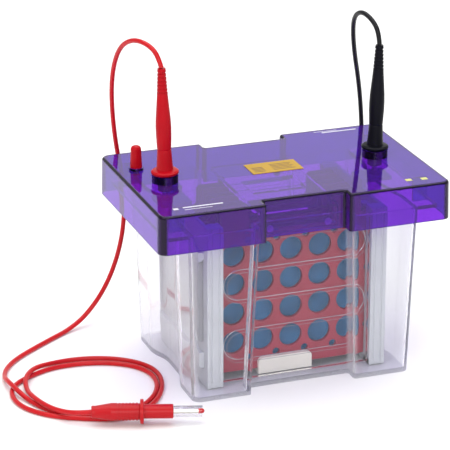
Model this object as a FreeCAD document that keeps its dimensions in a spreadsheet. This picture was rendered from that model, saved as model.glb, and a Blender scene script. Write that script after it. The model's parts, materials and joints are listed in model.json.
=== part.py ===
import FreeCAD, Part
import math
import os
import Sketcher

# A small vertical tank for electrophoresis and wet transfer, with a coloured safety lid.
# Frame: +X along the long side, +Y to the back, +Z up. Origin: middle of the tank's base.
# Millimetres throughout.

DIMENSIONS = {
    # Tank
    "base_half_length": 90.4,
    "base_half_depth": 68.75,
    "rim_half_length": 94.2,
    "rim_half_depth": 72.8,
    "tank_height": 139.0,
    "wall": 3.0,
    "floor_thickness": 3.0,
    "tank_corner": 7.0,
    "tank_waist_depth": 12.4,
    "base_waist_inner": 40.6,
    "rim_waist_inner": 35.4,
    "end_waist_depth": 6.5,
    "ledge_reach": 110.0,
    "ledge_half_depth": 68.0,
    "ledge_thickness": 3.0,
    "ledge_length": 25.0,
    # Lid
    "lid_half_length": 119.4,
    "lid_half_depth": 76.6,
    "lid_draft": 0.5,
    "lid_wall": 2.4,
    "lid_bottom": 128.2,
    "lid_top": 158.8,
    "lid_corner": 7.5,
    "lid_waist_depth": 10.5,
    "lid_waist_inner": 31.5,
    "waist_run": 5.0,
    "lid_edge_round": 2.4,
    "collar_radius": 10.3,
    "collar_top": 164.8,
    "collar_bore_radius": 6.0,
    "contact_left": -89.6,
    "contact_right": 86.4,
    "label_length": 42.0,
    "label_depth": 23.0,
    "label_thickness": 0.4,
    "port_across": -102.0,
    "port_back": 34.0,
    "port_boss_radius": 5.8,
    "port_boss_height": 1.8,
    "port_hole_radius": 2.5,
    "rest_length": 12.0,
    "rest_depth": 1.6,
    "rest_right": 94.0,
    "rest_left": -106.0,
    "rest_front": -58.0,
    "rest_rear": 50.0,
    # Insert
    "column_inner": 61.5,
    "column_outer": 74.5,
    "column_front": 54.0,
    "column_depth": 12.5,
    "column_bottom": 3.4,
    "column_top": 136.0,
    "web_thickness": 3.0,
    "rail_top": 8.3,
    "guide_inner": 66.0,
    "guide_thickness": 7.0,
    "guide_top": 130.0,
    "panel_face": 50.5,
    "panel_thickness": 3.0,
    "panel_half_length": 61.2,
    "panel_low": 6.0,
    "panel_high": 128.0,
    "wire_radius": 0.4,
    "wire_reach": 59.0,
    "wire_pitch": 25.0,
    "wire_low": 22.0,
    "bridge_half_length": 33.0,
    "bridge_face": 53.6,
    "bridge_plate": 3.0,
    "bridge_low": 126.2,
    "bridge_high": 144.0,
    "screw_radius": 2.75,
    "screw_head": 1.4,
    "screw_across": 24.0,
    "screw_up": 131.0,
    "bridge_slot_length": 44.0,
    "bridge_slot_depth": 28.0,
    "barrier_thickness": 3.8,
    "barrier_half_depth": 44.0,
    "barrier_low": 40.0,
    "barrier_high": 106.0,
    "catch_half_depth": 46.0,
    "foot_low": 17.7,
    "foot_height": 13.8,
    "hook_low": 106.3,
    "hook_height": 8.5,
    "arm_reach": 97.0,
    "arm_half_width": 11.0,
    "arm_bottom": 139.3,
    "arm_thickness": 3.0,
    "pin_radius": 2.0,
    "pin_top": 175.0,
    "pin_foot_radius": 4.0,
    "pin_foot_height": 2.4,
    # Cassettes
    "cassette_pitch": 22.0,
    "cassette_first": -39.0,
    "cassette_depth": 13.0,
    "plate_thickness": 3.0,
    "plate_half_width": 70.0,
    "plate_low": 8.6,
    "plate_dip": 124.0,
    "plate_shoulder": 128.0,
    "plate_high": 144.0,
    "ear_inner": 35.0,
    "ear_outer": 58.0,
    "plate_round": 3.0,
    "hole_radius": 9.5,
    "hole_pitch_across": 24.0,
    "hole_pitch_up": 24.4,
    "hole_row_low": 33.0,
    "small_hole_radius": 3.1,
    "small_row_low": 20.5,
    "small_row_high": 117.5,
    "small_column": 64.5,
    "pad_half_width": 64.0,
    "pad_low": 12.0,
    "pad_high": 117.0,
    "pad_thickness": 3.0,
    "clip_left": -28.0,
    "clip_length": 45.0,
    "clip_low": 4.6,
    "clip_high": 18.0,
    "clip_sheet": 3.0,
    "clip_gap": 0.3,
    "clip_round": 4.0,
    # Leads
    "cord_diameter": 3.8,
    "boot_length": 85.0,
    "boot_flange_radius": 10.75,
    "boot_flange_height": 3.0,
    "spigot_radius": 5.7,
    "spigot_length": 14.8,
    "socket_radius": 4.0,
    "socket_bore_radius": 2.05,
    "socket_length": 28.0,
    "plug_rear_radius": 4.75,
    "plug_barrel_radius": 6.7,
    "plug_flange_radius": 9.5,
    "plug_nose_radius": 5.5,
    "plug_taper": 15.0,
    "plug_barrel": 37.0,
    "plug_flange": 2.4,
    "plug_length": 62.0,
    "nose_bore_radius": 4.6,
    "nose_bore_depth": 22.0,
    "sheath_radius": 4.3,
    "sheath_bore_radius": 3.2,
    "sheath_start": 58.0,
    "sheath_end": 84.0,
    "plug_pin_start": 38.0,
    "plug_pin_end": 81.0,
    "tip_length": 4.6,
    # The black lead's stored length
    "coil_inner_turn": 18.2,
    "coil_height": 7.7,
    "coil_centre_across": 56.0,
    "coil_centre_back": 108.0,
    # The coloured cap on the lid
    "cap_height": 17.6,
    "cap_base_radius": 4.7,
    "cap_top_radius": 3.9,
    "cap_stem_radius": 2.4,
    "cap_stem_length": 8.0,
}

BOOT_LEAN = 1.4  # degrees that each boot bends outwards above its collar
LEAN_HEIGHT = 0.3  # how far above the boot's base it bends, which keeps its flange clear of the collar
BOOT_GRIP = [(6.1, 9), (5.5, 19.4), (5.25, 20), (5.5, 20.6), (6.0, 31), (6.1, 38), (5.8, 45)]
BOOT_BORE_TOP = 13.4
PLUG_YAW = math.degrees(math.atan2(-26.9, 80.2))  # the red plug's heading on the table
RED_PLUG_REAR = (-176.3, -78.5, 10.8)
BLACK_PLUG_REAR = (22.5, 108.0, 14.8)

# Cord routes, from the boot's tip to the plug's rear, or to the coil. Chosen by hand.
RED_ROUTE = [
    (-91.8, 0.1, 250.8), (-93.8, 2, 260.5), (-98.8, 11, 267), (-105.5, 26, 267.5), (-110.5, 42, 258.5),
    (-111.8, 56, 241), (-110.5, 68, 219.5), (-107.3, 78, 195), (-102.5, 86, 166), (-95.8, 91, 133),
    (-92.2, 96, 98), (-96, 101, 64), (-106.5, 106, 32), (-124, 106, 9), (-143, 97, 1.9),
    (-161, 84.5, 1.9), (-180.5, 70, 1.9), (-198, 56, 1.9), (-211, 40, 1.9), (-217, 23, 2.6),
    (-218, 8, 6), (-216, -7, 6), (-211, -22, 2.4), (-205, -38, 1.9), (-195, -54, 1.9),
    (-178, -66, 1.9), (-158, -72, 1.9), (-138, -69, 1.9), (-119, -53, 1.9), (-107, -31, 1.9),
    (-104.5, -8, 1.9), (-113, 11, 1.9), (-131, 24, 1.9), (-153, 30, 1.9), (-176, 29.5, 1.9),
    (-197, 20, 1.9), (-213, 8, 1.9), (-220, -8, 1.9), (-220, -26, 1.9), (-213.5, -43, 1.9),
    (-199, -59, 1.9), (-179, -70, 1.9), (-158, -79, 1.9), (-136, -76, 1.9), (-115.5, -56, 1.9),
    (-102.5, -30, 1.9), (-99, -3, 1.9), (-109, 18, 1.9), (-128, 32.5, 1.9), (-152, 39.5, 1.9),
    (-175, 38, 2.0), (-193, 25, 5.9), (-204, 9, 5.9), (-207.5, -9, 3.6), (-207.5, -26, 5.9),
    (-203.5, -43, 5.9), (-197, -58, 6.4), (-188.4, -74.4, 9.8), (-176.3, -78.5, 10.8),
]
BLACK_ROUTE = [
    (88.5, 0.1, 250.6), (88.1, 1, 260.6), (85.6, 9, 269), (82.3, 22, 272.5), (81.9, 36, 265),
    (85.6, 47, 248.5), (92.2, 58, 226), (100.4, 69, 202), (107, 78, 176), (111.8, 85.5, 147),
    (112.5, 91, 113), (109, 96, 79), (105, 99, 47), (99.5, 98, 20), (88, 91.5, 3),
    (72, 84.2, 1.9), (55, 81.8, 1.9),
]
BLACK_END_ROUTE = [
    (58, 82, 5.7), (44, 80.9, 5.8), (27.5, 81.6, 6.8), (11.6, 81.8, 9), (3.8, 89.6, 11),
    (3.8, 100.6, 12.9), (11.4, 108.2, 14.4), (22.5, 108, 14.8),
]

doc = FreeCAD.newDocument("transfer_tank")
dims = doc.addObject("Spreadsheet::Sheet", "dims")
for row, (alias, value) in enumerate(DIMENSIONS.items(), start=1):
    dims.set(f"A{row}", alias)
    dims.set(f"B{row}", str(value))
    dims.setAlias(f"B{row}", alias)
doc.recompute()

parts = []


def size(alias):
    """A driving dimension, read from the sheet."""
    return float(dims.get(alias))


def bind(item, **rules):
    """Binds properties of a document object to expressions over the sheet."""
    for name, rule in rules.items():
        path = {"x": "Placement.Base.x", "y": "Placement.Base.y", "z": "Placement.Base.z"}.get(name, name)
        item.setExpression(path, rule)


def part(item, label):
    """Names a document object as a sub-part, which is written to its own file."""
    item.Label = label
    parts.append(item)
    return item


def box(name, x, y, z, length, width, height):
    item = doc.addObject("Part::Box", name)
    bind(item, Length=length, Width=width, Height=height, x=x, y=y, z=z)
    return item


def cylinder(name, x, y, z, radius, height):
    item = doc.addObject("Part::Cylinder", name)
    bind(item, Radius=radius, Height=height, x=x, y=y, z=z)
    return item


def fuse(name, items):
    item = doc.addObject("Part::MultiFuse", name)
    item.Shapes = items
    item.Refine = True
    return item


def cut(name, base, tool):
    item = doc.addObject("Part::Cut", name)
    item.Base = base
    item.Tool = tool
    return item


def solid(name, shape, placement=None):
    """A piece whose shape comes from Part's own functions."""
    item = doc.addObject("Part::Feature", name)
    item.Shape = shape
    item.Placement = placement or FreeCAD.Placement()
    return item


# ---------------------------------------------------------------- outlines with waists

def step(start, end):
    """A step from start to end that leaves and arrives along X: arc, straight, arc."""
    radius = abs(end[0] - start[0]) / 2
    forward = math.copysign(1, end[0] - start[0])
    aside = math.copysign(1, end[1] - start[1])
    near = radius * math.sin(math.pi / 4)
    far = radius * (1 - math.cos(math.pi / 4))

    def place(x, y):
        return FreeCAD.Vector(start[0] + forward * x, start[1] + aside * y, 0)

    depth = abs(end[1] - start[1])
    turn_in = [place(0, 0), place(near, far), place(radius, radius)]
    turn_out = [place(radius, depth - radius), place(radius + far, depth - far), place(2 * radius, depth)]
    straight = Part.LineSegment(turn_in[2], turn_out[0])
    return [Part.Arc(*turn_in), straight, Part.Arc(*turn_out)]


def s_bend(start, end):
    """Two equal arcs from start to end that leave and arrive along Y."""
    run = abs(end[1] - start[1])
    depth = abs(end[0] - start[0])
    radius = (run * run + depth * depth) / (4 * depth)
    half = math.atan2(depth, run)
    across = radius * math.sin(half) / run
    down = radius * (1 - math.cos(half)) / depth
    shares = [(across, down), (0.5, 0.5), (1 - across, 1 - down), (1, 1)]
    points = [FreeCAD.Vector(start[0], start[1], 0)]
    for share_run, share_depth in shares:
        x = start[0] + (end[0] - start[0]) * share_depth
        y = start[1] + (end[1] - start[1]) * share_run
        points.append(FreeCAD.Vector(x, y, 0))
    return [Part.Arc(points[0], points[1], points[2]), Part.Arc(points[2], points[3], points[4])]


def waisted_outline(half_x, half_y, corner, side, end, height):
    """A rounded rectangle drawn in by steps on the long sides and by S bends on the short ones.

    side and end are (inner half width, outer half width, depth), and end may be None.
    """
    geometry = []
    inner, outer, depth = side
    vector = FreeCAD.Vector

    def line(a, b):
        geometry.append(Part.LineSegment(vector(a[0], a[1], 0), vector(b[0], b[1], 0)))

    def corner_arc(centre, angle):
        ring = []
        for part_turn in (0, 45, 90):
            turn = math.radians(angle + part_turn)
            x = centre[0] + corner * math.cos(turn)
            y = centre[1] + corner * math.sin(turn)
            ring.append(vector(x, y, 0))
        geometry.append(Part.Arc(ring[0], ring[1], ring[2]))

    def short_side(sign):
        low = (sign * half_x, -sign * (half_y - corner))
        high = (sign * half_x, sign * (half_y - corner))
        if end is None:
            line(low, high)
            return
        end_inner, end_outer, end_depth = end
        drawn = sign * (half_x - end_depth)
        line(low, (sign * half_x, -sign * end_outer))
        geometry.extend(s_bend((sign * half_x, -sign * end_outer), (drawn, -sign * end_inner)))
        line((drawn, -sign * end_inner), (drawn, sign * end_inner))
        geometry.extend(s_bend((drawn, sign * end_inner), (sign * half_x, sign * end_outer)))
        line((sign * half_x, sign * end_outer), high)

    def long_side(sign):
        drawn = sign * (half_y - depth)
        line((sign * (half_x - corner), sign * half_y), (sign * outer, sign * half_y))
        geometry.extend(step((sign * outer, sign * half_y), (sign * inner, drawn)))
        line((sign * inner, drawn), (-sign * inner, drawn))
        geometry.extend(step((-sign * inner, drawn), (-sign * outer, sign * half_y)))
        line((-sign * outer, sign * half_y), (-sign * (half_x - corner), sign * half_y))

    short_side(1)
    corner_arc((half_x - corner, half_y - corner), 0)
    long_side(1)
    corner_arc((-(half_x - corner), half_y - corner), 90)
    short_side(-1)
    corner_arc((-(half_x - corner), -(half_y - corner)), 180)
    long_side(-1)
    corner_arc((half_x - corner, -(half_y - corner)), 270)
    wire = Part.Wire([piece.toShape() for piece in geometry])
    wire.translate(vector(0, 0, height))
    return wire


def drafted(low_outline, high_outline):
    return Part.makeLoft([low_outline, high_outline], True, True)


# ---------------------------------------------------------------- tank

def tank_outline(inset, height):
    """The tank's outline at a height, drawn in by inset for the inside of the wall.

    The waists' widths, in millimetres, narrow a little from the base to the rim.
    """
    share = height / size("tank_height")
    half_x = size("base_half_length") + (size("rim_half_length") - size("base_half_length")) * share
    half_y = size("base_half_depth") + (size("rim_half_depth") - size("base_half_depth")) * share
    base_waist = size("base_waist_inner")
    waist_inner = base_waist + (size("rim_waist_inner") - base_waist) * share + inset
    side = (waist_inner, waist_inner + size("waist_run"), size("tank_waist_depth"))
    end = (10.0 + 0.2 * inset, 40.0 + 0.2 * inset, size("end_waist_depth"))
    corner = size("tank_corner") - inset
    return waisted_outline(half_x - inset, half_y - inset, corner, side, end, height)


def make_tank():
    top = size("tank_height")
    outside = solid("tank_outside", drafted(tank_outline(0, 0), tank_outline(0, top)))
    lower = tank_outline(size("wall"), size("floor_thickness"))
    upper = tank_outline(size("wall"), top + 1.0)
    inside = solid("tank_inside", drafted(lower, upper))
    ledges = []
    for side, start in (("right", "dims.ledge_reach - dims.ledge_length"), ("left", "-dims.ledge_reach")):
        plate = box(
            f"{side}_ledge", start, "-dims.ledge_half_depth", "dims.tank_height - dims.ledge_thickness",
            "dims.ledge_length", "2 * dims.ledge_half_depth", "dims.ledge_thickness",
        )
        ledges.append(plate)
    outer = fuse("tank_with_ledges", [outside] + ledges)
    part(cut("tank_shell", outer, inside), "tank_body")


# ---------------------------------------------------------------- lid

def lid_outline(inset, height):
    span = size("lid_top") - size("lid_bottom")
    drawn = inset + size("lid_draft") * (height - size("lid_bottom")) / span
    inner = size("lid_waist_inner") + inset
    side = (inner, inner + size("waist_run"), size("lid_waist_depth"))
    half_x = size("lid_half_length") - drawn
    half_y = size("lid_half_depth") - drawn
    return waisted_outline(half_x, half_y, size("lid_corner") - inset, side, None, height)


def make_lid():
    bottom = size("lid_bottom")
    top = size("lid_top")
    block = drafted(lid_outline(0, bottom), lid_outline(0, top))
    top_edges = [edge for edge in block.Edges if edge.BoundBox.ZMin > top - 0.01]
    outside = solid("lid_outside", block.makeFillet(size("lid_edge_round"), top_edges))
    wall = size("lid_wall")
    inside = solid("lid_inside", drafted(lid_outline(wall, bottom - 1.0), lid_outline(wall, top - wall)))
    shell = cut("lid_hollow", outside, inside)
    additions = [shell]
    openings = []
    rest_height = "dims.lid_top - dims.lid_wall - dims.tank_height - 0.3 + 0.5"
    for side in ("right", "left"):
        x = f"dims.contact_{side}"
        additions.append(cylinder(
            f"{side}_collar", x, "0", "dims.lid_top - 1", "dims.collar_radius",
            "dims.collar_top - dims.lid_top + 1",
        ))
        openings.append(cylinder(f"{side}_collar_bore", x, "0", "dims.lid_top - 5",
                                 "dims.collar_bore_radius", "20"))
        for place in ("front", "rear"):
            additions.append(box(
                f"{side}_{place}_rest", f"dims.rest_{side}", f"dims.rest_{place}", "dims.tank_height + 0.3",
                "dims.rest_length", "dims.rest_depth", rest_height,
            ))
    additions.append(cylinder(
        "port_boss", "dims.port_across", "dims.port_back", "dims.lid_top - 1", "dims.port_boss_radius",
        "dims.port_boss_height + 1",
    ))
    openings.append(cylinder(
        "port_hole", "dims.port_across", "dims.port_back", "dims.lid_top - 5", "dims.port_hole_radius", "12",
    ))
    full = fuse("lid_full", additions)
    holes = fuse("lid_holes", openings)
    part(cut("lid_drilled", full, holes), "lid_shell")
    label = box(
        "label_sheet", "1 - dims.label_length / 2", "2 - dims.label_depth / 2", "dims.lid_top",
        "dims.label_length", "dims.label_depth", "dims.label_thickness",
    )
    part(label, "write_on_label")


# ---------------------------------------------------------------- sketches and bodies

def outline_sketch(body, name, plane, points):
    """A closed sketch of straight lines whose corners are bound to expressions over the sheet."""
    sketch = body.newObject("Sketcher::SketchObject", name)
    origin_plane = [item for item in body.Origin.OriginFeatures if item.Role == plane][0]
    sketch.AttachmentSupport = (origin_plane, [""])
    sketch.MapMode = "FlatFace"
    places = []
    for rule_x, rule_y in points:
        places.append(FreeCAD.Vector(value_of(rule_x), value_of(rule_y), 0))
    count = len(places)
    for index, place in enumerate(places):
        sketch.addGeometry(Part.LineSegment(place, places[(index + 1) % count]), False)
    for index in range(count):
        sketch.addConstraint(Sketcher.Constraint("Coincident", index, 2, (index + 1) % count, 1))
    for index, (rule_x, rule_y) in enumerate(points):
        place = places[index]
        along_x = ("DistanceX", rule_x, place.x, -2)
        along_y = ("DistanceY", rule_y, place.y, -1)
        for kind, rule, value, axis in (along_x, along_y):
            if abs(value) < 1e-9:
                sketch.addConstraint(Sketcher.Constraint("PointOnObject", index, 1, axis))
                continue
            number = sketch.addConstraint(Sketcher.Constraint(kind, -1, 1, index, 1, value))
            sketch.setExpression(f"Constraints[{number}]", rule)
    return sketch


def value_of(rule):
    """What an expression over the sheet comes to."""
    scratch = dims.evalExpression(rule.replace("dims.", ""))
    return float(getattr(scratch, "Value", scratch))


def turned(name, points):
    """A body turned about its own Z axis from a closed outline of (radius, height) rules."""
    body = doc.addObject("PartDesign::Body", name)
    sketch = outline_sketch(body, f"{name}_outline", "XZ_Plane", points)
    turn = body.newObject("PartDesign::Revolution", f"{name}_turn")
    turn.Profile = sketch
    turn.ReferenceAxis = (sketch, ["V_Axis"])
    turn.Angle = 360
    body.Tip = turn
    return body


def ribs(start, pitch, count, radius_low, radius_high, depth):
    """Outline points of grooves that climb a cone, from radius_low at start to radius_high."""
    points = []
    for index in range(count):
        low = start + index * pitch
        middle = radius_low + (radius_high - radius_low) * (index + 0.5) / count
        points.append((f"{middle:.3f}", f"{low:.3f}"))
        points.append((f"{middle:.3f}", f"{low + 0.6 * pitch:.3f}"))
        points.append((f"{middle - depth:.3f}", f"{low + 0.6 * pitch:.3f}"))
        points.append((f"{middle - depth:.3f}", f"{low + pitch:.3f}"))
    return points


# ---------------------------------------------------------------- leads

def boot_outline():
    """Half section of a boot above its collar: flange, gripped body, ribbed sleeve for the cord."""
    rim = "dims.boot_flange_radius"
    top = "dims.boot_flange_height"
    points = [("0", "0"), (f"{rim} - 0.8", "0"), (rim, "0.9"), (rim, f"{top} - 0.9")]
    points += [(f"{rim} - 1.2", top), ("6.6", f"{top} + 0.5")]
    points += [(str(radius), str(height)) for radius, height in BOOT_GRIP]
    points += ribs(64.0, 3.0, 6, 4.3, 3.3, 0.55)
    points += [("3.2", "82.2"), ("3.4", "83"), ("3.1", "dims.boot_length"), ("0", "dims.boot_length")]
    return points


def make_boot(colour, base, lean):
    """A boot whose spigot and bore are upright in the collar, while the rest leans."""
    upper = turned(f"{colour}_boot_upper", boot_outline())
    bend = FreeCAD.Rotation(FreeCAD.Vector(0, 1, 0), lean)
    upper.Placement = FreeCAD.Placement(base + FreeCAD.Vector(0, 0, LEAN_HEIGHT), bend)
    height = f"{base.z} - dims.spigot_length"
    spigot = cylinder(f"{colour}_spigot", str(base.x), "0", height, "dims.spigot_radius",
                      "dims.spigot_length + dims.boot_flange_height - 1")
    bore = cylinder(f"{colour}_boot_bore", str(base.x), "0", f"{height} - 1", "dims.socket_radius + 0.05",
                    f"dims.spigot_length + 1 + {BOOT_BORE_TOP}")
    whole = fuse(f"{colour}_boot_whole", [upper, spigot])
    part(cut(f"{colour}_boot_bored", whole, bore), f"{colour}_boot")


def plug_outline():
    """Half section of a plug's handle, with the bore that its sheath slides in."""
    rear, barrel = "dims.plug_rear_radius", "dims.plug_barrel_radius"
    nose, pin = "dims.plug_nose_radius", "dims.pin_radius"
    shoulder = "dims.plug_barrel + dims.plug_flange"
    bore_end = "dims.plug_length - dims.nose_bore_depth"
    points = [("0", "0"), (f"{rear} - 0.4", "0"), (rear, "0.5"), (rear, "3"), (barrel, "dims.plug_taper")]
    points += ribs(18.0, 2.6, 7, size("plug_barrel_radius"), size("plug_barrel_radius"), 0.45)
    points += [(barrel, "dims.plug_barrel - 0.4"), ("dims.plug_flange_radius", "dims.plug_barrel")]
    points += [("dims.plug_flange_radius", shoulder), (nose, f"{shoulder} + 0.4")]
    points += [(nose, "dims.plug_length - 0.5"), (f"{nose} - 0.5", "dims.plug_length")]
    points += [("dims.nose_bore_radius", "dims.plug_length"), ("dims.nose_bore_radius", bore_end)]
    points += [(pin, bore_end), (pin, "dims.plug_pin_start"), ("0", "dims.plug_pin_start")]
    return points


def plug_pin_outline():
    """Half section of the plug's 4 mm pin, with the swell of its spring leaves."""
    full = "dims.pin_radius"
    slim = "dims.pin_radius - 0.25"
    end = "dims.plug_pin_end"
    points = [("0", "dims.plug_pin_start"), (full, "dims.plug_pin_start"), (full, f"{end} - 15")]
    points += [(slim, f"{end} - 14"), (full, f"{end} - 10.5"), (full, f"{end} - 7.5"), (slim, f"{end} - 4")]
    points += [(slim, end), ("0", end)]
    return points


def tip_outline():
    """Half section of the moulded tip that covers the pin's end."""
    end = "dims.plug_pin_end"
    points = [("0", end), ("dims.pin_radius", end), ("dims.pin_radius", f"{end} + 2.6")]
    points += [("dims.pin_radius - 0.6", f"{end} + 3.9"), ("0", f"{end} + dims.tip_length")]
    return points


def sheath_outline():
    bore, outside = "dims.sheath_bore_radius", "dims.sheath_radius"
    low, high = "dims.sheath_start", "dims.sheath_end"
    return [(bore, low), (outside, low), (outside, high), (bore, high)]


def socket_outline():
    bore, outside = "dims.socket_bore_radius", "dims.socket_radius"
    low, high = "-dims.spigot_length", "dims.socket_length - dims.spigot_length"
    return [(bore, low), (outside, low), (outside, high), (bore, high)]


def laid(rear, yaw):
    """Where a turned piece lies when its axis is level, from rear towards yaw degrees from +X."""
    level = FreeCAD.Rotation(FreeCAD.Vector(0, 1, 0), 90)
    heading = FreeCAD.Rotation(FreeCAD.Vector(0, 0, 1), yaw)
    return FreeCAD.Placement(FreeCAD.Vector(*rear), heading.multiply(level))


def rounded_path(points):
    """One wire of straight runs and tangent arcs, each arc as large as its two runs allow."""
    corners = [FreeCAD.Vector(*point) for point in points]
    edges = []
    radii = []
    start = corners[0]
    for before, here, after in zip(corners, corners[1:], corners[2:]):
        back = before - here
        ahead = after - here
        turn = math.pi - back.getAngle(ahead)
        reach = 0.45 * min(back.Length, ahead.Length)
        radii.append(reach / math.tan(turn / 2))
        arc_start = here + back.normalize() * reach
        arc_end = here + ahead.normalize() * reach
        to_centre = (back + ahead).normalize()
        rise = radii[-1] / math.cos(turn / 2) - radii[-1]
        edges.append(Part.LineSegment(start, arc_start).toShape())
        edges.append(Part.Arc(arc_start, here + to_centre * rise, arc_end).toShape())
        start = arc_end
    edges.append(Part.LineSegment(start, corners[-1]).toShape())
    return Part.Wire(edges), radii


def cord_tube(label, points):
    """A cord's own solid along its route. Its radii and volume are printed."""
    path, radii = rounded_path(points)
    radius = size("cord_diameter") / 2
    first = FreeCAD.Vector(*points[0])
    heading = FreeCAD.Vector(*points[1]) - first
    ring = Part.Wire([Part.makeCircle(radius, first, heading)])
    tube = path.makePipeShell([ring], True, False)
    expected = math.pi * radius * radius * path.Length
    print(f"{label}: length {path.Length:.1f}, radii {min(radii):.1f} to {max(radii):.1f}, "
          f"volume {tube.Volume / expected:.4f} of section times length")
    part(solid(label, tube), label)


def make_leads():
    yaws = {"red": PLUG_YAW, "black": 0.0}
    rears = {"red": RED_PLUG_REAR, "black": BLACK_PLUG_REAR}
    for colour, side, lean in (("red", "left", -BOOT_LEAN), ("black", "right", BOOT_LEAN)):
        base = FreeCAD.Vector(size(f"contact_{side}"), 0, size("collar_top") + 0.2)
        make_boot(colour, base, lean)
        socket = turned(f"{colour}_socket_body", socket_outline())
        socket.Placement = FreeCAD.Placement(base, FreeCAD.Rotation())
        part(socket, f"{colour}_socket")
        for piece, outline in (
            ("plug", plug_outline()), ("plug_pin", plug_pin_outline()),
            ("plug_tip", tip_outline()), ("sheath", sheath_outline()),
        ):
            item = turned(f"{colour}_{piece}_body", outline)
            item.Placement = laid(rears[colour], yaws[colour])
            part(item, f"{colour}_{piece}")
    cord_tube("red_cord", RED_ROUTE)
    cord_tube("black_cord", BLACK_ROUTE)
    cord_tube("black_cord_end", BLACK_END_ROUTE)
    outer = "dims.coil_inner_turn + 2.5 * dims.cord_diameter"
    inner = "dims.coil_inner_turn - 0.5 * dims.cord_diameter"
    centre = ("dims.coil_centre_across", "dims.coil_centre_back")
    ring = cylinder("coil_outside", centre[0], centre[1], "0", outer, "dims.coil_height")
    hollow = cylinder("coil_inside", centre[0], centre[1], "-1", inner, "dims.coil_height + 2")
    part(cut("coil_ring", ring, hollow), "black_coil")


# ---------------------------------------------------------------- cap on the lid

def make_port_cap():
    """A round cap with a stem that fits the lid's small hole."""
    stem, low, high = "dims.cap_stem_radius", "dims.cap_base_radius", "dims.cap_top_radius"
    points = [("0", "-dims.cap_stem_length"), (stem, "-dims.cap_stem_length"), (stem, "0"), (low, "0")]
    points += [(low, "1.5"), (f"{high} + 0.2", "dims.cap_height - 2.2")]
    points += [(f"{high} - 0.6", "dims.cap_height - 0.6")]
    points += [(f"{high} - 1.8", "dims.cap_height"), ("0", "dims.cap_height")]
    cap = turned("port_cap_body", points)
    height = size("lid_top") + size("port_boss_height") + 0.1
    cap.Placement.Base = FreeCAD.Vector(size("port_across"), size("port_back"), height)
    part(cap, "port_cap")


# ---------------------------------------------------------------- insert

def make_side_frames():
    """Two end frames: a column at each corner, a web between them, and guides for the cassettes."""
    for side, sign in (("left", -1), ("right", 1)):
        def across(inner, outer, name, y, z, width, height):
            start = inner if sign > 0 else f"-({outer})"
            return box(f"{side}_{name}", start, y, z, f"({outer}) - ({inner})", width, height)

        tall = "dims.column_top - dims.column_bottom"
        pieces = [
            across("dims.column_inner", "dims.column_outer", "front_column", "-dims.column_front",
                   "dims.column_bottom", "dims.column_depth", tall),
            across("dims.column_inner", "dims.column_outer", "rear_column",
                   "dims.column_front - dims.column_depth", "dims.column_bottom", "dims.column_depth", tall),
            across("dims.column_outer - dims.web_thickness", "dims.column_outer", "web",
                   "-dims.column_front", "dims.column_bottom", "2 * dims.column_front", tall),
            across("dims.column_inner", "dims.column_outer", "rail", "-dims.column_front",
                   "dims.column_bottom", "2 * dims.column_front", "dims.rail_top - dims.column_bottom"),
            across("dims.column_outer - 1", "dims.column_outer + dims.barrier_thickness", "foot",
                   "-dims.catch_half_depth", "dims.foot_low", "2 * dims.catch_half_depth",
                   "dims.foot_height"),
            across("dims.column_outer - 1", "dims.column_outer + dims.barrier_thickness", "hook",
                   "-dims.catch_half_depth", "dims.hook_low", "2 * dims.catch_half_depth",
                   "dims.hook_height"),
            across("dims.column_outer - dims.web_thickness", "dims.column_outer", "arm_seat",
                   "-dims.arm_half_width", "dims.column_top - 1", "2 * dims.arm_half_width",
                   "dims.arm_bottom - dims.column_top + 1"),
        ]
        for number in (1, 2, 3):
            y = f"dims.cassette_first + {number} * dims.cassette_pitch - 8"
            pieces.append(across(
                "dims.guide_inner", "dims.column_outer - dims.web_thickness + 1", f"guide_{number}", y,
                "dims.rail_top - 1", "dims.guide_thickness", "dims.guide_top - dims.rail_top + 1",
            ))
        part(fuse(f"{side}_frame_whole", pieces), f"{side}_frame")
        barrier = across(
            "dims.column_outer + 0.1", "dims.column_outer + dims.barrier_thickness", "barrier_sheet",
            "-dims.barrier_half_depth", "dims.barrier_low", "2 * dims.barrier_half_depth",
            "dims.barrier_high - dims.barrier_low",
        )
        part(barrier, f"{side}_barrier")
        start = "dims.column_outer - dims.web_thickness"
        arm = across(start, "dims.arm_reach", "arm_plate", "-dims.arm_half_width", "dims.arm_bottom",
                     "2 * dims.arm_half_width", "dims.arm_thickness")
        x = f"dims.contact_{side}"
        seat = cylinder(f"{side}_arm_hole", x, "0", "dims.arm_bottom - 1", "dims.pin_radius",
                        "dims.arm_thickness + 2")
        part(cut(f"{side}_arm_drilled", arm, seat), f"{side}_contact_arm")
        shank = cylinder(f"{side}_pin_shank", x, "0", "dims.arm_bottom", "dims.pin_radius",
                         "dims.pin_top - dims.arm_bottom")
        foot = cylinder(f"{side}_pin_foot", x, "0", "dims.arm_bottom + dims.arm_thickness",
                        "dims.pin_foot_radius", "dims.pin_foot_height")
        part(fuse(f"{side}_pin_whole", [shank, foot]), f"{side}_contact_pin")


def wire_path(y):
    """Five level runs joined by half circles, in an electrode panel's plane. The lowest turn is at -X."""
    half = size("wire_pitch") / 2
    reach = size("wire_reach") - half
    edges = []
    for run in range(5):
        z = size("wire_low") + run * size("wire_pitch")
        side = -1 if run % 2 == 0 else 1
        start = FreeCAD.Vector(-side * reach, y, z)
        end = FreeCAD.Vector(side * reach, y, z)
        edges.append(Part.LineSegment(start, end).toShape())
        if run < 4:
            middle = FreeCAD.Vector(side * (reach + half), y, z + half)
            edges.append(Part.Arc(end, middle, FreeCAD.Vector(side * reach, y, z + 2 * half)).toShape())
    return Part.Wire(edges)


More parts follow.
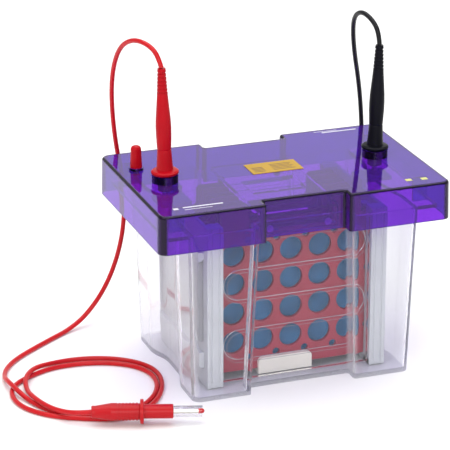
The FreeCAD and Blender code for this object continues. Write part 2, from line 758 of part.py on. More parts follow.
def make_electrodes():
    """A clear panel at the front and one at the back, each with its wire on the inner face."""
    tall = "dims.panel_high - dims.panel_low"
    wide = "2 * dims.panel_half_length"
    faces = (("front", "-dims.panel_face", -1), ("rear", "dims.panel_face - dims.panel_thickness", 1))
    for place, y, sign in faces:
        panel = box(f"{place}_panel_sheet", "-dims.panel_half_length", y, "dims.panel_low", wide,
                    "dims.panel_thickness", tall)
        part(panel, f"{place}_electrode_panel")
        depth = sign * (size("panel_face") - size("panel_thickness") - size("wire_radius") - 0.1)
        path = wire_path(depth)
        first = path.Vertexes[0].Point
        ring = Part.Wire([Part.makeCircle(size("wire_radius"), first, FreeCAD.Vector(-1, 0, 0))])
        part(solid(f"{place}_wire_run", path.makePipeShell([ring], True, False)), f"{place}_electrode_wire")


def make_bridge():
    """The lifting bridge over the cassettes, and the four screws that hold it to the panels."""
    wide = "2 * dims.bridge_half_length"
    start = "-dims.bridge_half_length"
    deck = box("bridge_deck", start, "-dims.bridge_face", "dims.bridge_high - dims.bridge_plate", wide,
               "2 * dims.bridge_face", "dims.bridge_plate")
    tall = "dims.bridge_high - dims.bridge_low"
    thick = "dims.bridge_face - dims.panel_face - 0.1"
    front = box("bridge_front", start, "-dims.bridge_face", "dims.bridge_low", wide, thick, tall)
    rear = box("bridge_rear", start, "dims.panel_face + 0.1", "dims.bridge_low", wide, thick, tall)
    slot = box("bridge_slot", "-dims.bridge_slot_length / 2", "-dims.bridge_slot_depth / 2",
               "dims.bridge_high - 10", "dims.bridge_slot_length", "dims.bridge_slot_depth", "20")
    whole = fuse("bridge_whole", [deck, front, rear])
    part(cut("bridge_slotted", whole, slot), "lifting_bridge")
    screws = []
    for outward in (-1, 1):
        for side in (-1, 1):
            far = outward * (size("bridge_face") + size("screw_head"))
            head_start = FreeCAD.Vector(side * size("screw_across"), far, size("screw_up"))
            inward = FreeCAD.Vector(0, -outward, 0)
            head = Part.makeCylinder(size("screw_radius"), size("screw_head"), head_start, inward)
            recess = Part.makeCylinder(1.2, 0.8, head_start, inward)
            screws.append(head.cut(recess))
    part(solid("bridge_screw_set", Part.makeCompound(screws)), "bridge_screws")


# ---------------------------------------------------------------- cassettes

def circle_sketch(body, name, circles):
    """Holes for a plate: circles of (x rule, y rule, radius rule) on the plate's own plane."""
    sketch = body.newObject("Sketcher::SketchObject", name)
    plane = [item for item in body.Origin.OriginFeatures if item.Role == "XY_Plane"][0]
    sketch.AttachmentSupport = (plane, [""])
    sketch.MapMode = "FlatFace"
    for index, rules in enumerate(circles):
        x, y, radius = [value_of(rule) for rule in rules]
        centre = FreeCAD.Vector(x, y, 0)
        sketch.addGeometry(Part.Circle(centre, FreeCAD.Vector(0, 0, 1), radius), False)
        for kind, rule, value in (("DistanceX", rules[0], x), ("DistanceY", rules[1], y)):
            if abs(value) < 1e-9:
                sketch.addConstraint(Sketcher.Constraint("PointOnObject", index, 3, -2))
                continue
            number = sketch.addConstraint(Sketcher.Constraint(kind, -1, 1, index, 3, value))
            sketch.setExpression(f"Constraints[{number}]", rule)
        number = sketch.addConstraint(Sketcher.Constraint("Radius", index, radius))
        sketch.setExpression(f"Constraints[{number}]", rules[2])
    return sketch


def perforated_plate(name):
    """A cassette's half: a flat plate with two ears, twenty large holes and rows of small ones."""
    body = doc.addObject("PartDesign::Body", name)
    half = [
        ("dims.plate_half_width", "dims.plate_low"), ("dims.plate_half_width", "dims.plate_shoulder"),
        ("dims.ear_outer", "dims.plate_shoulder"), ("dims.ear_outer", "dims.plate_high"),
        ("dims.ear_inner", "dims.plate_high"), ("dims.ear_inner", "dims.plate_dip"),
    ]
    mirrored = [(f"-{x}", y) for x, y in reversed(half)]
    sketch = outline_sketch(body, f"{name}_outline", "XY_Plane", half + mirrored)
    pad = body.newObject("PartDesign::Pad", f"{name}_pad")
    pad.Profile = sketch
    pad.setExpression("Length", "dims.plate_thickness")
    doc.recompute()
    upright = []
    for number, edge in enumerate(pad.Shape.Edges, start=1):
        if edge.BoundBox.ZLength > size("plate_thickness") - 0.01:
            upright.append(f"Edge{number}")
    corners = body.newObject("PartDesign::Fillet", f"{name}_corners")
    corners.Base = (pad, upright)
    corners.setExpression("Radius", "dims.plate_round")
    column = []
    for row in range(4):
        y = f"dims.hole_row_low + {row} * dims.hole_pitch_up"
        column.append(("-2 * dims.hole_pitch_across", y, "dims.hole_radius"))
    large = body.newObject("PartDesign::Pocket", f"{name}_large_holes")
    large.Profile = circle_sketch(body, f"{name}_column", column)
    large.Type = 1
    large.Reversed = True
    across = body.newObject("PartDesign::LinearPattern", f"{name}_columns")
    across.Originals = [large]
    across.Direction = (large.Profile[0], ["H_Axis"])
    across.setExpression("Length", "4 * dims.hole_pitch_across")
    across.Occurrences = 5
    body.Tip = across
    small = []
    for x in ("-1.5", "-0.5", "0.5", "1.5"):
        for y in ("dims.small_row_low", "dims.small_row_high"):
            small.append((f"{x} * dims.hole_pitch_across", y, "dims.small_hole_radius"))
    for side in ("-", ""):
        for row in range(4):
            y = f"dims.hole_row_low + {row} * dims.hole_pitch_up"
            small.append((f"{side}dims.small_column", y, "dims.small_hole_radius"))
    little = body.newObject("PartDesign::Pocket", f"{name}_small_holes")
    little.Profile = circle_sketch(body, f"{name}_rows", small)
    little.Type = 1
    little.Reversed = True
    body.Tip = little
    return body


def make_cassettes():
    upright = FreeCAD.Rotation(FreeCAD.Vector(1, 0, 0), 90)
    for number in (1, 2, 3):
        front = size("cassette_first") + (number - 1) * size("cassette_pitch")
        offset = f"dims.cassette_first + {number - 1} * dims.cassette_pitch"
        backs = {"red": front + size("plate_thickness"), "black": front + size("cassette_depth")}
        for colour, back_face in backs.items():
            plate = perforated_plate(f"cassette_{number}_{colour}")
            plate.Placement = FreeCAD.Placement(FreeCAD.Vector(0, back_face, 0), upright)
            part(plate, f"cassette_{number}_{colour}_plate")
        starts = {
            "front": f"{offset} + dims.plate_thickness + 0.1",
            "rear": f"{offset} + dims.cassette_depth - dims.plate_thickness - 0.1 - dims.pad_thickness",
        }
        for place, y in starts.items():
            pad = box(f"cassette_{number}_{place}_fibre", "-dims.pad_half_width", y, "dims.pad_low",
                      "2 * dims.pad_half_width", "dims.pad_thickness", "dims.pad_high - dims.pad_low")
            part(pad, f"cassette_{number}_{place}_pad")
        outer = box(
            f"clip_{number}_outside", "dims.clip_left", f"{offset} - dims.clip_gap - dims.clip_sheet",
            "dims.clip_low", "dims.clip_length",
            "dims.cassette_depth + 2 * dims.clip_gap + 2 * dims.clip_sheet", "dims.clip_high - dims.clip_low",
        )
        inner = box(
            f"clip_{number}_inside", "dims.clip_left - 1", f"{offset} - dims.clip_gap",
            "dims.plate_low - dims.clip_gap", "dims.clip_length + 2",
            "dims.cassette_depth + 2 * dims.clip_gap", "20",
        )
        doc.recompute()
        corners = []
        for edge_number, edge in enumerate(outer.Shape.Edges, start=1):
            reach = edge.BoundBox
            if reach.YLength > size("cassette_depth") and reach.ZMin > size("clip_high") - 0.1:
                corners.append((edge_number, size("clip_round"), size("clip_round")))
        rounded = doc.addObject("Part::Fillet", f"clip_{number}_rounded")
        rounded.Base = outer
        rounded.Edges = corners
        part(cut(f"clip_{number}_folded", rounded, inner), f"cassette_{number}_clip")


# ---------------------------------------------------------------- build, check and write

make_tank()
make_lid()
make_port_cap()
make_side_frames()
make_electrodes()
make_bridge()
make_cassettes()
make_leads()
doc.recompute()

for item in doc.Objects:
    if "Invalid" in item.State or "Error" in item.State:
        raise SystemExit(f"{item.Name} failed: {item.State}")
for item in parts:
    if item.Shape.isNull() or not item.Shape.isValid():
        raise SystemExit(f"{item.Label} has no valid shape")

os.makedirs("parts", exist_ok=True)
for item in parts:
    item.Shape.exportStep(f"parts/{item.Label}.step")
print(f"{len(parts)} parts written")
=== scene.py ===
import json
import math

import bmesh
import bpy
from mathutils import Euler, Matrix, Vector, noise as waves


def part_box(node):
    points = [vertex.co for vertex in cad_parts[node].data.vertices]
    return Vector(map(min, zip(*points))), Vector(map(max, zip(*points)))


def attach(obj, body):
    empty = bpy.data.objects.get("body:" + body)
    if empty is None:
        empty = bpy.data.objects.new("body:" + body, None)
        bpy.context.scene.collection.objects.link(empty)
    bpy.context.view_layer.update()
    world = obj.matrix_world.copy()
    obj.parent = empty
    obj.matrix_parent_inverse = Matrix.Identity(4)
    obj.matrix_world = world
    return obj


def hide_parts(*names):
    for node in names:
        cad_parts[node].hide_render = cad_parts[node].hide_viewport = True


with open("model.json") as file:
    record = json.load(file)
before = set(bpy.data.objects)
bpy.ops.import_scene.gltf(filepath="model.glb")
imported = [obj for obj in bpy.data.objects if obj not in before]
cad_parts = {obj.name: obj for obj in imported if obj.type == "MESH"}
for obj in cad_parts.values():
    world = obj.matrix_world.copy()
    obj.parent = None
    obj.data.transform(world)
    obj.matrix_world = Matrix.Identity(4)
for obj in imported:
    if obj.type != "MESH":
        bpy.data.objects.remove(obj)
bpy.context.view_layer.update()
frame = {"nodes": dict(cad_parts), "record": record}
NODES = frame["nodes"]
MM = 0.001


def metres(place):
    """A point given in millimetres, in metres."""
    return tuple(value * MM for value in place)


def add_object(name, data):
    """A new object in the scene that holds this data."""
    made = bpy.data.objects.new(name, data)
    bpy.context.scene.collection.objects.link(made)
    return made


# ------------------------------------------------------------------ camera
# To the front and a little to the left, looking down 21 degrees.

camera_data = bpy.data.cameras.new("camera")
camera_data.lens = 199.2
camera_data.sensor_width = 36.0
camera_data.clip_end = 50.0
camera = add_object("camera", camera_data)
camera.location = (-0.6657, -1.7183, 0.8119)
camera.rotation_euler = Euler((math.radians(69.17), 0.0, math.radians(-20.0)))
bpy.context.scene.camera = camera

# ------------------------------------------------------------------ cords
# Route points in millimetres, the same as the CAD tubes' routes.

CORD_DIAMETER = 0.0038

RED_ROUTE = [
    (-91.8, 0.1, 250.8), (-93.8, 2, 260.5), (-98.8, 11, 267), (-105.5, 26, 267.5),
    (-110.5, 42, 258.5), (-111.8, 56, 241), (-110.5, 68, 219.5), (-107.3, 78, 195),
    (-102.5, 86, 166), (-95.8, 91, 133), (-92.2, 96, 98), (-96, 101, 64),
    (-106.5, 106, 32), (-124, 106, 9), (-143, 97, 1.9), (-161, 84.5, 1.9),
    (-180.5, 70, 1.9), (-198, 56, 1.9), (-211, 40, 1.9), (-217, 23, 2.6),
    (-218, 8, 6), (-216, -7, 6), (-211, -22, 2.4), (-205, -38, 1.9),
    (-195, -54, 1.9), (-178, -66, 1.9), (-158, -72, 1.9), (-138, -69, 1.9),
    (-119, -53, 1.9), (-107, -31, 1.9), (-104.5, -8, 1.9), (-113, 11, 1.9),
    (-131, 24, 1.9), (-153, 30, 1.9), (-176, 29.5, 1.9), (-197, 20, 1.9),
    (-213, 8, 1.9), (-220, -8, 1.9), (-220, -26, 1.9), (-213.5, -43, 1.9),
    (-199, -59, 1.9), (-179, -70, 1.9), (-158, -79, 1.9), (-136, -76, 1.9),
    (-115.5, -56, 1.9), (-102.5, -30, 1.9), (-99, -3, 1.9), (-109, 18, 1.9),
    (-128, 32.5, 1.9), (-152, 39.5, 1.9), (-175, 38, 2.0), (-193, 25, 5.9),
    (-204, 9, 5.9), (-207.5, -9, 3.6), (-207.5, -26, 5.9), (-203.5, -43, 5.9),
    (-197, -58, 6.4), (-188.4, -74.4, 9.8), (-176.3, -78.5, 10.8),
]
BLACK_START = [
    (88.5, 0.1, 250.6), (88.1, 1, 260.6), (85.6, 9, 269), (82.3, 22, 272.5),
    (81.9, 36, 265), (85.6, 47, 248.5), (92.2, 58, 226), (100.4, 69, 202),
    (107, 78, 176), (111.8, 85.5, 147), (112.5, 91, 113), (109, 96, 79),
    (105, 99, 47), (99.5, 98, 20), (88, 91.5, 3), (72, 84.2, 1.9),
]
BLACK_END = [
    (27.5, 81.6, 6.8), (11.6, 81.8, 9), (3.8, 89.6, 11), (3.8, 100.6, 12.9),
    (11.4, 108.2, 14.4), (22.5, 108, 14.8),
]
COIL_CENTRE = (56.0, 108.0)
COIL_RADII = (25.8, 22.0, 18.2)
COIL_HEIGHTS = (1.9, 5.7)
COIL_START = -90.0
COIL_EASE = 0.3
POINTS_A_TURN = 12


def coil_points():
    """The stored length: three turns inwards on the floor, then three outwards on top of them."""
    swell = 1.0 / math.cos(math.pi / POINTS_A_TURN)
    angle = COIL_START
    radius = COIL_RADII[0]
    points = []
    for height, turns in zip(COIL_HEIGHTS, (COIL_RADII, COIL_RADII[::-1])):
        for turn in turns:
            for _ in range(POINTS_A_TURN):
                radius += (turn - radius) * COIL_EASE
                points.append((COIL_CENTRE[0] + radius * swell * math.cos(math.radians(angle)),
                               COIL_CENTRE[1] + radius * swell * math.sin(math.radians(angle)),
                               height))
                angle -= 360.0 / POINTS_A_TURN
    return points


def cord_curve(name, route):
    """A round cord along one smooth spline with the route's points as its control points."""
    data = bpy.data.curves.new(name, "CURVE")
    data.dimensions = "3D"
    spline = data.splines.new("NURBS")
    spline.points.add(len(route) - 1)
    for point, place in zip(spline.points, route):
        point.co = (*metres(place), 1.0)
        # The thickness is on the points and not in the bevel, which keeps the curve's box true.
        point.radius = CORD_DIAMETER / 2
    spline.order_u = 3
    spline.use_endpoint_u = True
    spline.resolution_u = 10
    data.bevel_depth = 1.0
    data.bevel_resolution = 6
    data.use_fill_caps = True
    return add_object(name, data)


red_cord = cord_curve("red_silicone_cord", RED_ROUTE)
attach(red_cord, "red_lead")
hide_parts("red_cord")
black_cord = cord_curve("black_silicone_cord", BLACK_START + coil_points() + BLACK_END)
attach(black_cord, "black_lead")
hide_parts("black_cord", "black_coil", "black_cord_end")

# ------------------------------------------------------------------ materials


def principled(name, **values):
    """A new material and its Principled shader, with the given plain socket values."""
    made = bpy.data.materials.new(name)
    made.use_nodes = True
    shader = made.node_tree.nodes["Principled BSDF"]
    for socket, value in values.items():
        shader.inputs[socket.replace("_", " ")].default_value = value
    return made, shader


def node(made, kind, **values):
    """A new node in a material's tree, with the given settings."""
    item = made.node_tree.nodes.new(kind)
    for key, value in values.items():
        setattr(item, key, value)
    return item


def link(made, source, target):
    made.node_tree.links.new(source, target)


def noise(made, scale, detail=3.0, roughness=0.55, stretch=(1.0, 1.0, 1.0)):
    """A noise texture on Object coordinates, stretched per axis."""
    place = node(made, "ShaderNodeTexCoord")
    turn = node(made, "ShaderNodeMapping")
    turn.inputs["Scale"].default_value = stretch
    link(made, place.outputs["Object"], turn.inputs["Vector"])
    grain = node(made, "ShaderNodeTexNoise")
    grain.inputs["Scale"].default_value = scale
    grain.inputs["Detail"].default_value = detail
    grain.inputs["Roughness"].default_value = roughness
    link(made, turn.outputs["Vector"], grain.inputs["Vector"])
    return grain.outputs["Fac"]


def ramp(made, source, stops):
    """A colour ramp over a value: stops are (position, colour)."""
    scale = node(made, "ShaderNodeValToRGB")
    while len(scale.color_ramp.elements) < len(stops):
        scale.color_ramp.elements.new(0.5)
    for element, (position, colour) in zip(scale.color_ramp.elements, stops):
        element.position = position
        element.color = (*colour, 1.0)
    link(made, source, scale.inputs["Fac"])
    return scale.outputs["Color"]


def map_range(made, source, to_min, to_max, from_min=0.0, from_max=1.0):
    """A value carried from one range to another."""
    spread = node(made, "ShaderNodeMapRange")
    ends = {"From Min": from_min, "From Max": from_max, "To Min": to_min, "To Max": to_max}
    for end, value in ends.items():
        spread.inputs[end].default_value = value
    link(made, source, spread.inputs["Value"])
    return spread.outputs["Result"]


def roughen(made, shader, source, low, high):
    """Varies the roughness between two values."""
    link(made, map_range(made, source, low, high), shader.inputs["Roughness"])


def bump(made, shader, source, strength, distance):
    """Gives a surface the relief of a value."""
    raised = node(made, "ShaderNodeBump")
    raised.inputs["Strength"].default_value = strength
    raised.inputs["Distance"].default_value = distance
    link(made, source, raised.inputs["Height"])
    link(made, raised.outputs["Normal"], shader.inputs["Normal"])


def clear_plastic(name, colour, passing, rough, ior, clearness=1.0, absorbed=None, density=0.0):
    """A clear moulding that bends light, and lets lamps light what stands behind it."""
    made, shader = principled(name, Base_Color=(*colour, 1.0), Roughness=rough, IOR=ior,
                              Transmission_Weight=clearness)
    out = made.node_tree.nodes["Material Output"]
    path = node(made, "ShaderNodeLightPath")
    open_way = node(made, "ShaderNodeBsdfTransparent")
    open_way.inputs["Color"].default_value = (*passing, 1.0)
    chosen = node(made, "ShaderNodeMixShader")
    link(made, path.outputs["Is Shadow Ray"], chosen.inputs["Fac"])
    link(made, shader.outputs["BSDF"], chosen.inputs[1])
    link(made, open_way.outputs["BSDF"], chosen.inputs[2])
    link(made, chosen.outputs["Shader"], out.inputs["Surface"])
    if absorbed:
        depth = node(made, "ShaderNodeVolumeAbsorption")
        depth.inputs["Color"].default_value = (*absorbed, 1.0)
        depth.inputs["Density"].default_value = density
        link(made, depth.outputs["Volume"], out.inputs["Volume"])
    return made


def facing(made):
    """How far a face turns to each axis, either way, on the sockets X, Y and Z."""
    way = node(made, "ShaderNodeNewGeometry")
    size = node(made, "ShaderNodeVectorMath", operation="ABSOLUTE")
    parts = node(made, "ShaderNodeSeparateXYZ")
    link(made, way.outputs["Normal"], size.inputs[0])
    link(made, size.outputs["Vector"], parts.inputs["Vector"])
    return parts.outputs


def larger_of(made, first, second):
    """The larger of two values."""
    larger = node(made, "ShaderNodeMath", operation="MAXIMUM")
    link(made, first, larger.inputs[0])
    link(made, second, larger.inputs[1])
    return larger.outputs["Value"]


def leaning(made, low, high):
    """How far a face leans off all three axes: 0 on flat faces, 1 on rounded edges and corners."""
    parts = facing(made)
    largest = larger_of(made, larger_of(made, parts["X"], parts["Y"]), parts["Z"])
    return map_range(made, largest, 0.0, 1.0, high, low)


def painted_edge_shade(made, colour, edge_shade):
    """Paints shade into a tinted moulding's colour along its rounded edges, where its wall is seen
    end on.
    """
    shader = made.node_tree.nodes["Principled BSDF"]
    edge = leaning(made, 0.93, 0.995)
    # painted shade: the base colour turns to the dark shade colour on the rounded edges
    link(made, ramp(made, edge, [(0.0, colour), (1.0, edge_shade)]), shader.inputs["Base Color"])
    link(made, map_range(made, edge, 0.5, 0.06), shader.inputs["Specular IOR Level"])


def scuffed_ends(made, clear, cloudy):
    """Makes the ends, steps and base edge of a clear moulding scatter more than its long walls."""
    shader = made.node_tree.nodes["Principled BSDF"]
    place = node(made, "ShaderNodeTexCoord")
    height = node(made, "ShaderNodeSeparateXYZ")
    link(made, place.outputs["Object"], height.inputs["Vector"])
    base = map_range(made, height.outputs["Z"], 0.0, 1.0, 4.0 * MM, 3.0 * MM)
    scuffed = larger_of(made, facing(made)["X"], base)
    link(made, map_range(made, scuffed, clear, cloudy, 0.25, 0.9),
         shader.inputs["Transmission Weight"])


def solid_plastic(name, colour, rough, grain_scale, grain_depth, shift=0.12, **values):
    """Moulded plastic or rubber with a fine grain and a slight change of shade."""
    made, shader = principled(name, **values)
    fine = noise(made, grain_scale)
    wide = noise(made, grain_scale * 0.06, detail=2.0)
    darker = tuple(channel * (1.0 - shift) for channel in colour)
    lighter = tuple(min(1.0, channel * (1.0 + shift)) for channel in colour)
    link(made, ramp(made, wide, [(0.3, darker), (0.7, lighter)]), shader.inputs["Base Color"])
    roughen(made, shader, fine, rough - 0.05, rough + 0.05)
    bump(made, shader, fine, 0.25, grain_depth)
    return made


tank_clear = clear_plastic("clear polished tank", (0.985, 0.985, 0.99), (0.93, 0.93, 0.95), 0.02,
                           ior=1.27, clearness=0.99, absorbed=(0.60, 0.64, 0.92), density=10.0)
scuffed_ends(tank_clear, 0.99, 0.82)
panel_clear = clear_plastic("clear electrode panel", (0.97, 0.97, 0.975), (0.95, 0.95, 0.95), 0.03,
                            ior=1.12)
sheath_clear = clear_plastic("clear plug sheath", (0.96, 0.96, 0.97), (0.94, 0.94, 0.94), 0.05,
                             ior=1.4)
lid_violet = clear_plastic("violet tinted lid", (0.36, 0.10, 0.92), (0.64, 0.42, 0.90), 0.02,
                           ior=1.49, clearness=0.90, absorbed=(0.70, 0.0, 0.81), density=1000.0)
# painted shade along the lid's rounded edges, from violet to nearly black
painted_edge_shade(lid_violet, (0.34, 0.09, 0.94), (0.012, 0.0, 0.016))
violet_shader = lid_violet.node_tree.nodes["Principled BSDF"]
violet_shader.inputs["Specular Tint"].default_value = (0.72, 0.60, 1.0, 1.0)
bead_clear = solid_plastic("pale clear bead", (0.60, 0.56, 0.62), 0.2, 700.0, 0.0001, shift=0.02,
                           Transmission_Weight=0.6)
hazy = solid_plastic("hazy grey sheet", (0.52, 0.52, 0.55), 0.45, 500.0, 0.0002, shift=0.03,
                     Transmission_Weight=0.45)
frosted = solid_plastic("frosted white frame", (0.50, 0.515, 0.54), 0.42, 700.0, 0.0002, shift=0.03)
red_moulding = solid_plastic("red satin plate", (0.36, 0.045, 0.075), 0.4, 600.0, 0.0002,
                             shift=0.05, Specular_IOR_Level=0.2)
black_moulding = solid_plastic("black satin plate", (0.016, 0.016, 0.02), 0.4, 600.0, 0.0002,
                               Specular_IOR_Level=0.2)
red_rubber = solid_plastic("red boot rubber", (0.46, 0.003, 0.010), 0.3, 900.0, 0.0001, shift=0.06,
                           Specular_IOR_Level=0.12)
black_rubber = solid_plastic("black boot rubber", (0.006, 0.006, 0.010), 0.3, 900.0, 0.0001,
                             Specular_IOR_Level=0.08)
red_plug_plastic = solid_plastic("red plug plastic", (0.48, 0.004, 0.009), 0.3, 800.0, 0.0001,
                                 shift=0.06, Specular_IOR_Level=0.25)
black_plug_plastic = solid_plastic("black plug plastic", (0.008, 0.008, 0.011), 0.33, 800.0, 0.0001,
                                   Specular_IOR_Level=0.2)
red_silicone = solid_plastic("red silicone cord", (0.54, 0.004, 0.009), 0.3, 1100.0, 0.0001,
                             shift=0.05, Specular_IOR_Level=0.3)
black_silicone = solid_plastic("black silicone cord", (0.008, 0.008, 0.010), 0.34, 1100.0, 0.0001,
                               Specular_IOR_Level=0.2)
cream = solid_plastic("cream folded clip", (0.80, 0.765, 0.69), 0.45, 500.0, 0.0003, shift=0.04)
card = solid_plastic("orange label card", (0.47, 0.29, 0.045), 0.5, 900.0, 0.0001, shift=0.03,
                     Specular_IOR_Level=0.1)
white_ink = solid_plastic("white ink", (0.62, 0.60, 0.72), 0.5, 900.0, 0.0001, shift=0.02)
yellow_ink = solid_plastic("yellow ink", (0.62, 0.60, 0.20), 0.5, 900.0, 0.0001, shift=0.02)
dark_ink = solid_plastic("brown ink", (0.16, 0.09, 0.03), 0.5, 900.0, 0.0001, shift=0.02)
fibre = solid_plastic("blue open fibre", (0.030, 0.115, 0.235), 0.9, 900.0, 0.001, shift=0.3,
                      Specular_IOR_Level=0.1)
brass = solid_plastic("plated contact metal", (0.75, 0.72, 0.64), 0.25, 900.0, 0.0001, Metallic=1.0)
bright_wire = solid_plastic("bright platinum wire", (0.80, 0.80, 0.82), 0.2, 900.0, 0.0001,
                            Metallic=1.0)
steel = solid_plastic("brushed steel strip", (0.62, 0.62, 0.64), 0.35, 500.0, 0.0001, Metallic=1.0)

FINISHES = {
    "clear_tank": tank_clear, "violet_lid": lid_violet, "label_card": card,
    "red_rubber": red_rubber, "black_rubber": black_rubber, "red_plastic": red_plug_plastic,
    "black_plastic": black_plug_plastic, "red_silicone": red_silicone,
    "black_silicone": black_silicone, "plated_brass": brass, "clear_sheath": sheath_clear,
    "frosted_frame": frosted, "clear_panel": panel_clear, "platinum": bright_wire,
    "steel": steel, "red_plate": red_moulding, "black_plate": black_moulding,
    "blue_fibre": fibre, "cream_clip": cream,
}
for subpart in frame["record"]["subparts"]:
    mesh = NODES[subpart["node"]].data
    mesh.materials.clear()
    mesh.materials.append(FINISHES[subpart["material_slot"]])
red_cord.data.materials.append(red_silicone)
black_cord.data.materials.append(black_silicone)

# ------------------------------------------------------------------ pieces

AXES = {"x": (1, 2, 0), "y": (0, 2, 1), "z": (0, 1, 2)}


def add_prism(mesh, outline, low, high, axis="z", soft=0.4):
    """Adds a closed prism with softened edges to a mesh. Its outline is in the other two axes."""
    first, second, along = AXES[axis]
    rings = []
    for height in (low, high):
        ring = []
        for across, up in outline:
            place = [0.0, 0.0, 0.0]
            place[first] = across * MM
            place[second] = up * MM
            place[along] = height * MM
            ring.append(mesh.verts.new(place))
        rings.append(ring)
    count = len(outline)
    faces = [mesh.faces.new(rings[0]), mesh.faces.new(list(reversed(rings[1])))]
    for index in range(count):
        after = (index + 1) % count
        faces.append(mesh.faces.new((rings[0][index], rings[1][index],
                                     rings[1][after], rings[0][after])))
    bmesh.ops.recalc_face_normals(mesh, faces=faces)
    if soft:
        edges = list({edge for face in faces for edge in face.edges})
        bmesh.ops.bevel(mesh, geom=edges, offset=soft * MM, segments=2, profile=0.5, affect="EDGES",
                        clamp_overlap=True)


def block(start, end):
    """The four corners of a rectangle between two opposite corners."""
    return [(start[0], start[1]), (end[0], start[1]), (end[0], end[1]), (start[0], end[1])]


def declare(piece, body, stands_for=()):
    """Says which body a piece rides on, which CAD nodes it stands for."""
    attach(piece, body)
    if stands_for:
        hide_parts(*stands_for)


def finished(mesh, name, body, finish, smooth=False, stands_for=()):
    """Turns a grown mesh into a piece of the scene that rides on a body."""
    data = bpy.data.meshes.new(name)
    mesh.to_mesh(data)
    mesh.free()
    data.materials.append(finish)
    if smooth:
        data.shade_smooth()
    piece = add_object(name, data)
    declare(piece, body, stands_for)
    return piece


FLUTE_DEPTH = 0.9
FLUTES = (2.2, 8.4)
POST_FACES = ((-54.0, -41.5), (41.5, 54.0))
POST_INNER = 61.5
WEB_INNER = 71.5
FRAME_OUTER = 74.5
WEB_REACH = 41.7
RAIL_REACH = 46.0
FRAME_FOOT = [(74.3, 17.7), (78.3, 19.7), (78.3, 31.5), (74.3, 31.5)]
FRAME_HOOK = [(74.3, 109.2), (78.3, 106.3), (78.3, 114.8), (74.3, 114.8)]


def fluted(front, rear):
    """A post's section: a rectangle with shallow grooves in its front and rear faces."""
    points = []
    for face, edge_shade in ((front, FLUTE_DEPTH), (rear, -FLUTE_DEPTH)):
        row = [(POST_INNER, face)]
        for start in FLUTES:
            near = POST_INNER + start
            row += [(near, face), (near + 0.5, face + edge_shade), (near + 1.5, face + edge_shade),
                    (near + 2.0, face)]
        row.append((FRAME_OUTER, face))
        points += row if edge_shade > 0 else list(reversed(row))
    return points


def end_frame(name, sign):
    """An end frame: two fluted posts, a ribbed web, a foot, a hook and the cassettes' guides."""
    parts = [(fluted(front, rear), 3.4, 136.0, "z", 0.25) for front, rear in POST_FACES]
    parts.append((block((WEB_INNER, -WEB_REACH), (FRAME_OUTER, WEB_REACH)), 3.6, 135.8, "z", 0.5))
    parts += [(block((74.2, start), (75.4, start + 2.0)), 31.0, 107.0, "z", 0.3)
              for start in (-30.0, -2.0, 26.0)]
    parts.append((block((POST_INNER, 3.5), (71.7, 8.3)), -53.8, 53.8, "y", 0.4))
    parts.append((FRAME_FOOT, -RAIL_REACH, RAIL_REACH, "y", 0.5))
    parts.append((FRAME_HOOK, -RAIL_REACH, RAIL_REACH, "y", 0.5))
    parts.append((block((WEB_INNER, -11.0), (FRAME_OUTER, 11.0)), 135.0, 139.3, "z", 0.3))
    parts += [(block((66.0, start), (71.9, start + 7.0)), 8.1, 130.0, "z", 0.6)
              for start in (-25.0, -3.0, 19.0)]
    mesh = bmesh.new()
    for outline, low, high, axis, soft in parts:
        mirrored = [(sign * across, other) for across, other in outline]
        add_prism(mesh, mirrored, low, high, axis, soft)
    finished(mesh, f"{name}_end_frame", "insert", frosted,
             stands_for=[f"{name}_frame"])


def barrier(side, sign):
    """A hazy sheet with two upright ribs, between an end frame's foot and hook."""
    mesh = bmesh.new()
    for near, far, start, end in ((74.6, 76.6, -44.0, 44.0), (76.4, 78.3, -44.0, -40.0),
                                  (76.4, 78.3, 40.0, 44.0)):
        add_prism(mesh, block((sign * near, start), (sign * far, end)), 40.0, 106.0, "z", 0.5)
    finished(mesh, f"{side}_barrier_sheet", "insert", hazy,
             stands_for=[f"{side}_barrier"])


for build in (end_frame, barrier):
    build("left", -1)
    build("right", 1)


PAD_INSET = 0.1
PAD_CUTS = 40
LONG_EDGE = 0.05
SWELLS = ((330.0, 0.16), (60.0, 0.12))


def fibre_pad(cassette, place):
    """A pad of open fibre with a slightly uneven face."""
    node_name = f"cassette_{cassette}_{place}_pad"
    low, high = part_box(node_name)
    mesh = bmesh.new()
    outline = block((low[0] / MM, low[2] / MM), (high[0] / MM, high[2] / MM))
    add_prism(mesh, outline, low[1] / MM + PAD_INSET, high[1] / MM - PAD_INSET, "y", 0.5)
    long_edges = [edge for edge in mesh.edges if edge.calc_length() > LONG_EDGE]
    bmesh.ops.subdivide_edges(mesh, edges=long_edges, cuts=PAD_CUTS, use_grid_fill=True)
    mesh.normal_update()
    shifts = []
    for vert in mesh.verts:
        swell = sum(waves.noise(vert.co * scale) * height for scale, height in SWELLS)
        shifts.append((vert, vert.normal * swell * MM))
    for vert, shift in shifts:
        vert.co += shift
    bmesh.ops.recalc_face_normals(mesh, faces=mesh.faces)
    pad = finished(mesh, f"cassette_{cassette}_{place}_fibre", f"cassette_{cassette}",
                   fibre, smooth=True, stands_for=[node_name])


for cassette in (1, 2, 3):
    for place in ("front", "rear"):
        fibre_pad(cassette, place)


TRACK_RUNS = 5
TRACK_LOW = 22.0
TRACK_STEP = 25.0
TRACK_HALF_WIDTH = 59.0
TURN_RADIUS = TRACK_STEP / 2


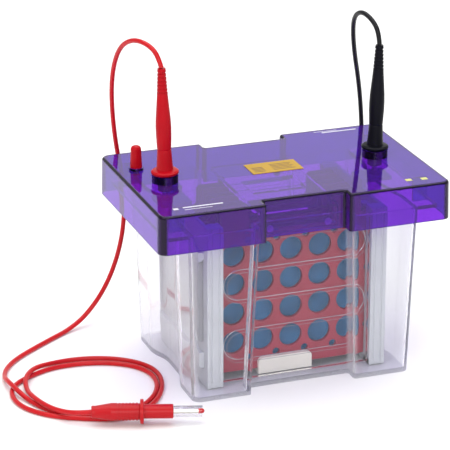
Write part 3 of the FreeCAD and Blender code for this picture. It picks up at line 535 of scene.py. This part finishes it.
def track_points(depth, spread):
    """The electrode's way over its panel, or a bead beside it when spread isn't nought."""
    points = []
    reach = TRACK_HALF_WIDTH - TURN_RADIUS
    for run in range(TRACK_RUNS):
        height = TRACK_LOW + run * TRACK_STEP
        side = -1 if run % 2 == 0 else 1
        outward = spread if run % 2 == 0 else -spread
        points.append((-side * reach, depth, height - outward))
        points.append((side * reach, depth, height - outward))
        if run == TRACK_RUNS - 1:
            break
        radius = TURN_RADIUS + outward
        for turn in range(15, 180, 15):
            angle = math.radians(turn - 90)
            points.append((side * (reach + radius * math.cos(angle)), depth,
                           height + TURN_RADIUS + radius * math.sin(angle)))
    return points


def track(name, depth, finish, radius, spreads, stands_for=()):
    """Round wires or beads along the electrode's way, as one curve on the insert."""
    data = bpy.data.curves.new(name, "CURVE")
    data.dimensions = "3D"
    for spread in spreads:
        points = track_points(depth, spread)
        spline = data.splines.new("POLY")
        spline.points.add(len(points) - 1)
        for point, place in zip(spline.points, points):
            point.co = (*metres(place), 1.0)
    data.bevel_depth = radius * MM
    data.bevel_resolution = 3
    data.use_fill_caps = True
    data.materials.append(finish)
    declare(add_object(name, data), "insert", stands_for)


for place, sign in (("front", -1), ("rear", 1)):
    track(f"{place}_wire", sign * 47.0, bright_wire, 0.3, [0.0],
          stands_for=[f"{place}_electrode_wire"])
    track(f"{place}_panel_beads", sign * 50.5, bead_clear, 0.18, [1.5, -1.5])

# ------------------------------------------------------------------ plain marks on the lid

LID_TOP = 158.8
LABEL_TOP = LID_TOP + 0.4


def marks(name, places, height, thick, finish):
    """Thin printed bars on a level face of the lid: each is (x, y, length, depth)."""
    mesh = bmesh.new()
    for x, y, length, depth in places:
        add_prism(mesh, block((x, y), (x + length, y + depth)), height, height + thick, "z", 0)
    finished(mesh, name, "lid", finish)


marks("white_marks", [(-96, -61.5, 32, 2.0), (-96, -65.5, 22, 0.8), (-104, -63.5, 4, 3.6),
                      (68, 65.5, 30, 2.0), (62, 69.0, 20, 0.8)], LID_TOP, 0.12, white_ink)
marks("yellow_marks", [(86, -64, 5, 4.5), (98.6, -65.2, 5, 4.5)], LID_TOP, 0.12, yellow_ink)
short_lines = [(-17, -6 + 3 * row, 9, 1.2) for row in range(4)]
long_lines = [(-1, -5 + 3 * row, 18 - 2 * (row % 2), 1.0) for row in range(5)]
marks("label_lines", short_lines + long_lines, LABEL_TOP, 0.08, dark_ink)

# ------------------------------------------------------------------ floor and light

bpy.ops.mesh.primitive_plane_add(size=8.0, location=(0.0, 0.0, 0.0))
floor = bpy.context.object
floor.name = "floor"
floor_finish, _ = principled("pale floor", Base_Color=(0.93, 0.93, 0.93, 1.0), Roughness=0.9,
                             Specular_IOR_Level=0.0)
floor.data.materials.append(floor_finish)

world = bpy.data.worlds.new("studio")
world.use_nodes = True
sky = world.node_tree.nodes["Background"]
sky.inputs["Color"].default_value = (1.0, 1.0, 1.0, 1.0)
sky.inputs["Strength"].default_value = 0.6
bpy.context.scene.world = world


def area_light(name, place, target, width, power):
    """A square lamp that looks at a point."""
    data = bpy.data.lights.new(name, "AREA")
    data.shape = "SQUARE"
    data.size = width
    data.energy = power
    lamp = add_object(name, data)
    lamp.location = place
    lamp.rotation_euler = (Vector(target) - Vector(place)).to_track_quat("-Z", "Y").to_euler()


area_light("overhead", (0.1, 0.1, 2.2), (0.0, 0.0, 0.0), 2.7, 50.0)
area_light("front_fill", (-0.7, -2.6, 1.1), (0.0, 0.0, 0.1), 1.4, 20.0)
area_light("backdrop", (0.9, 2.6, 1.3), (0.0, 0.0, 0.15), 2.4, 8.0)
area_light("window_left", (-1.6, -0.9, 1.3), (0.0, 0.0, 0.1), 0.5, 5.0)

view = bpy.context.scene.view_settings
view.view_transform = "Standard"
view.look = "None"
scene_cycles = bpy.context.scene.cycles
scene_cycles.max_bounces = 20
scene_cycles.transmission_bounces = 20
scene_cycles.transparent_max_bounces = 24

# ------------------------------------------------------------------ scene update

bpy.context.view_layer.update()
